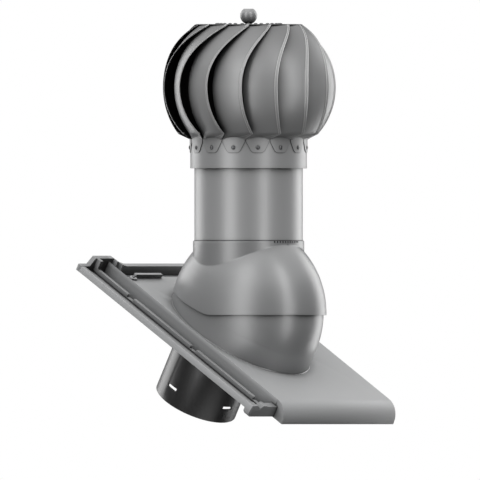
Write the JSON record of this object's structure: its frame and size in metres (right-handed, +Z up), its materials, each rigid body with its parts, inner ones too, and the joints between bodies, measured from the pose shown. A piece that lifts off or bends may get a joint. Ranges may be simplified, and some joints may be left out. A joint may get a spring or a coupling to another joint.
{
  "type": "roof turbine ventilator",
  "caption": "Wind-driven roof turbine ventilator: a vaned globe spins on a round neck above a split ball dome, set by hinge to the roof pitch, on its own interlocking roof tile.",
  "frame": {"origin": "centre of the open lower end of the duct spigot", "axes": "+Z straight up along the turbine's axis on a 30 degree roof, +Y up the slope, +X across the roof"},
  "size_m": [0.288, 0.3853, 0.615],
  "materials": {
    "tile_grey": "satin",
    "dome_grey": "satin",
    "neck_grey": "satin",
    "duct_black": "semi-gloss",
    "seal_black": "matte",
    "turbine_grey": "satin",
    "rivet_steel": "satin",
    "zinc_steel": "satin",
    "bearing_steel": "bright"
  },
  "bodies": {
    "tile": {"roof_tile": "tile_grey", "dome_base": "dome_grey", "duct_spigot": "duct_black", "spigot_gasket": "seal_black", "spigot_screws": "zinc_steel"},
    "cap": {"dome_cap": "dome_grey", "pitch_lock_screws": "zinc_steel", "neck_tube": "neck_grey", "bearing_spider": "zinc_steel", "spider_rivets": "rivet_steel", "bearing_housing": "zinc_steel", "housing_screws": "zinc_steel", "bearing_outer_upper": "bearing_steel", "bearing_outer_lower": "bearing_steel"},
    "rotor": {"bearing_inner_upper": "bearing_steel", "bearing_inner_lower": "bearing_steel", "rotor_shaft": "bearing_steel", "shaft_circlip": "bearing_steel", "plate_hub": "turbine_grey", "top_plate": "turbine_grey", "plate_rivets": "rivet_steel", "finial_ball": "turbine_grey", "collar_ring": "turbine_grey", "collar_rivets": "rivet_steel", "vane_01": "turbine_grey", "vane_02": "turbine_grey", "vane_03": "turbine_grey", "vane_04": "turbine_grey", "vane_05": "turbine_grey", "vane_06": "turbine_grey", "vane_07": "turbine_grey", "vane_08": "turbine_grey", "vane_09": "turbine_grey", "vane_10": "turbine_grey", "vane_11": "turbine_grey", "vane_12": "turbine_grey", "vane_13": "turbine_grey", "vane_14": "turbine_grey", "vane_15": "turbine_grey"}
  },
  "joints": [
    {"name": "pitch_adjust", "type": "hinge", "parent": "tile", "child": "cap", "pos_m": [0, -0.10998, 0.13049], "axis": [1, 0, 0], "range_deg": [0, 12]},
    {"name": "turbine_spin", "type": "hinge", "parent": "cap", "child": "rotor", "pos_m": [0, -0.10998, 0.13049], "axis": [0, 0, 1], "continuous": true}
  ]
}
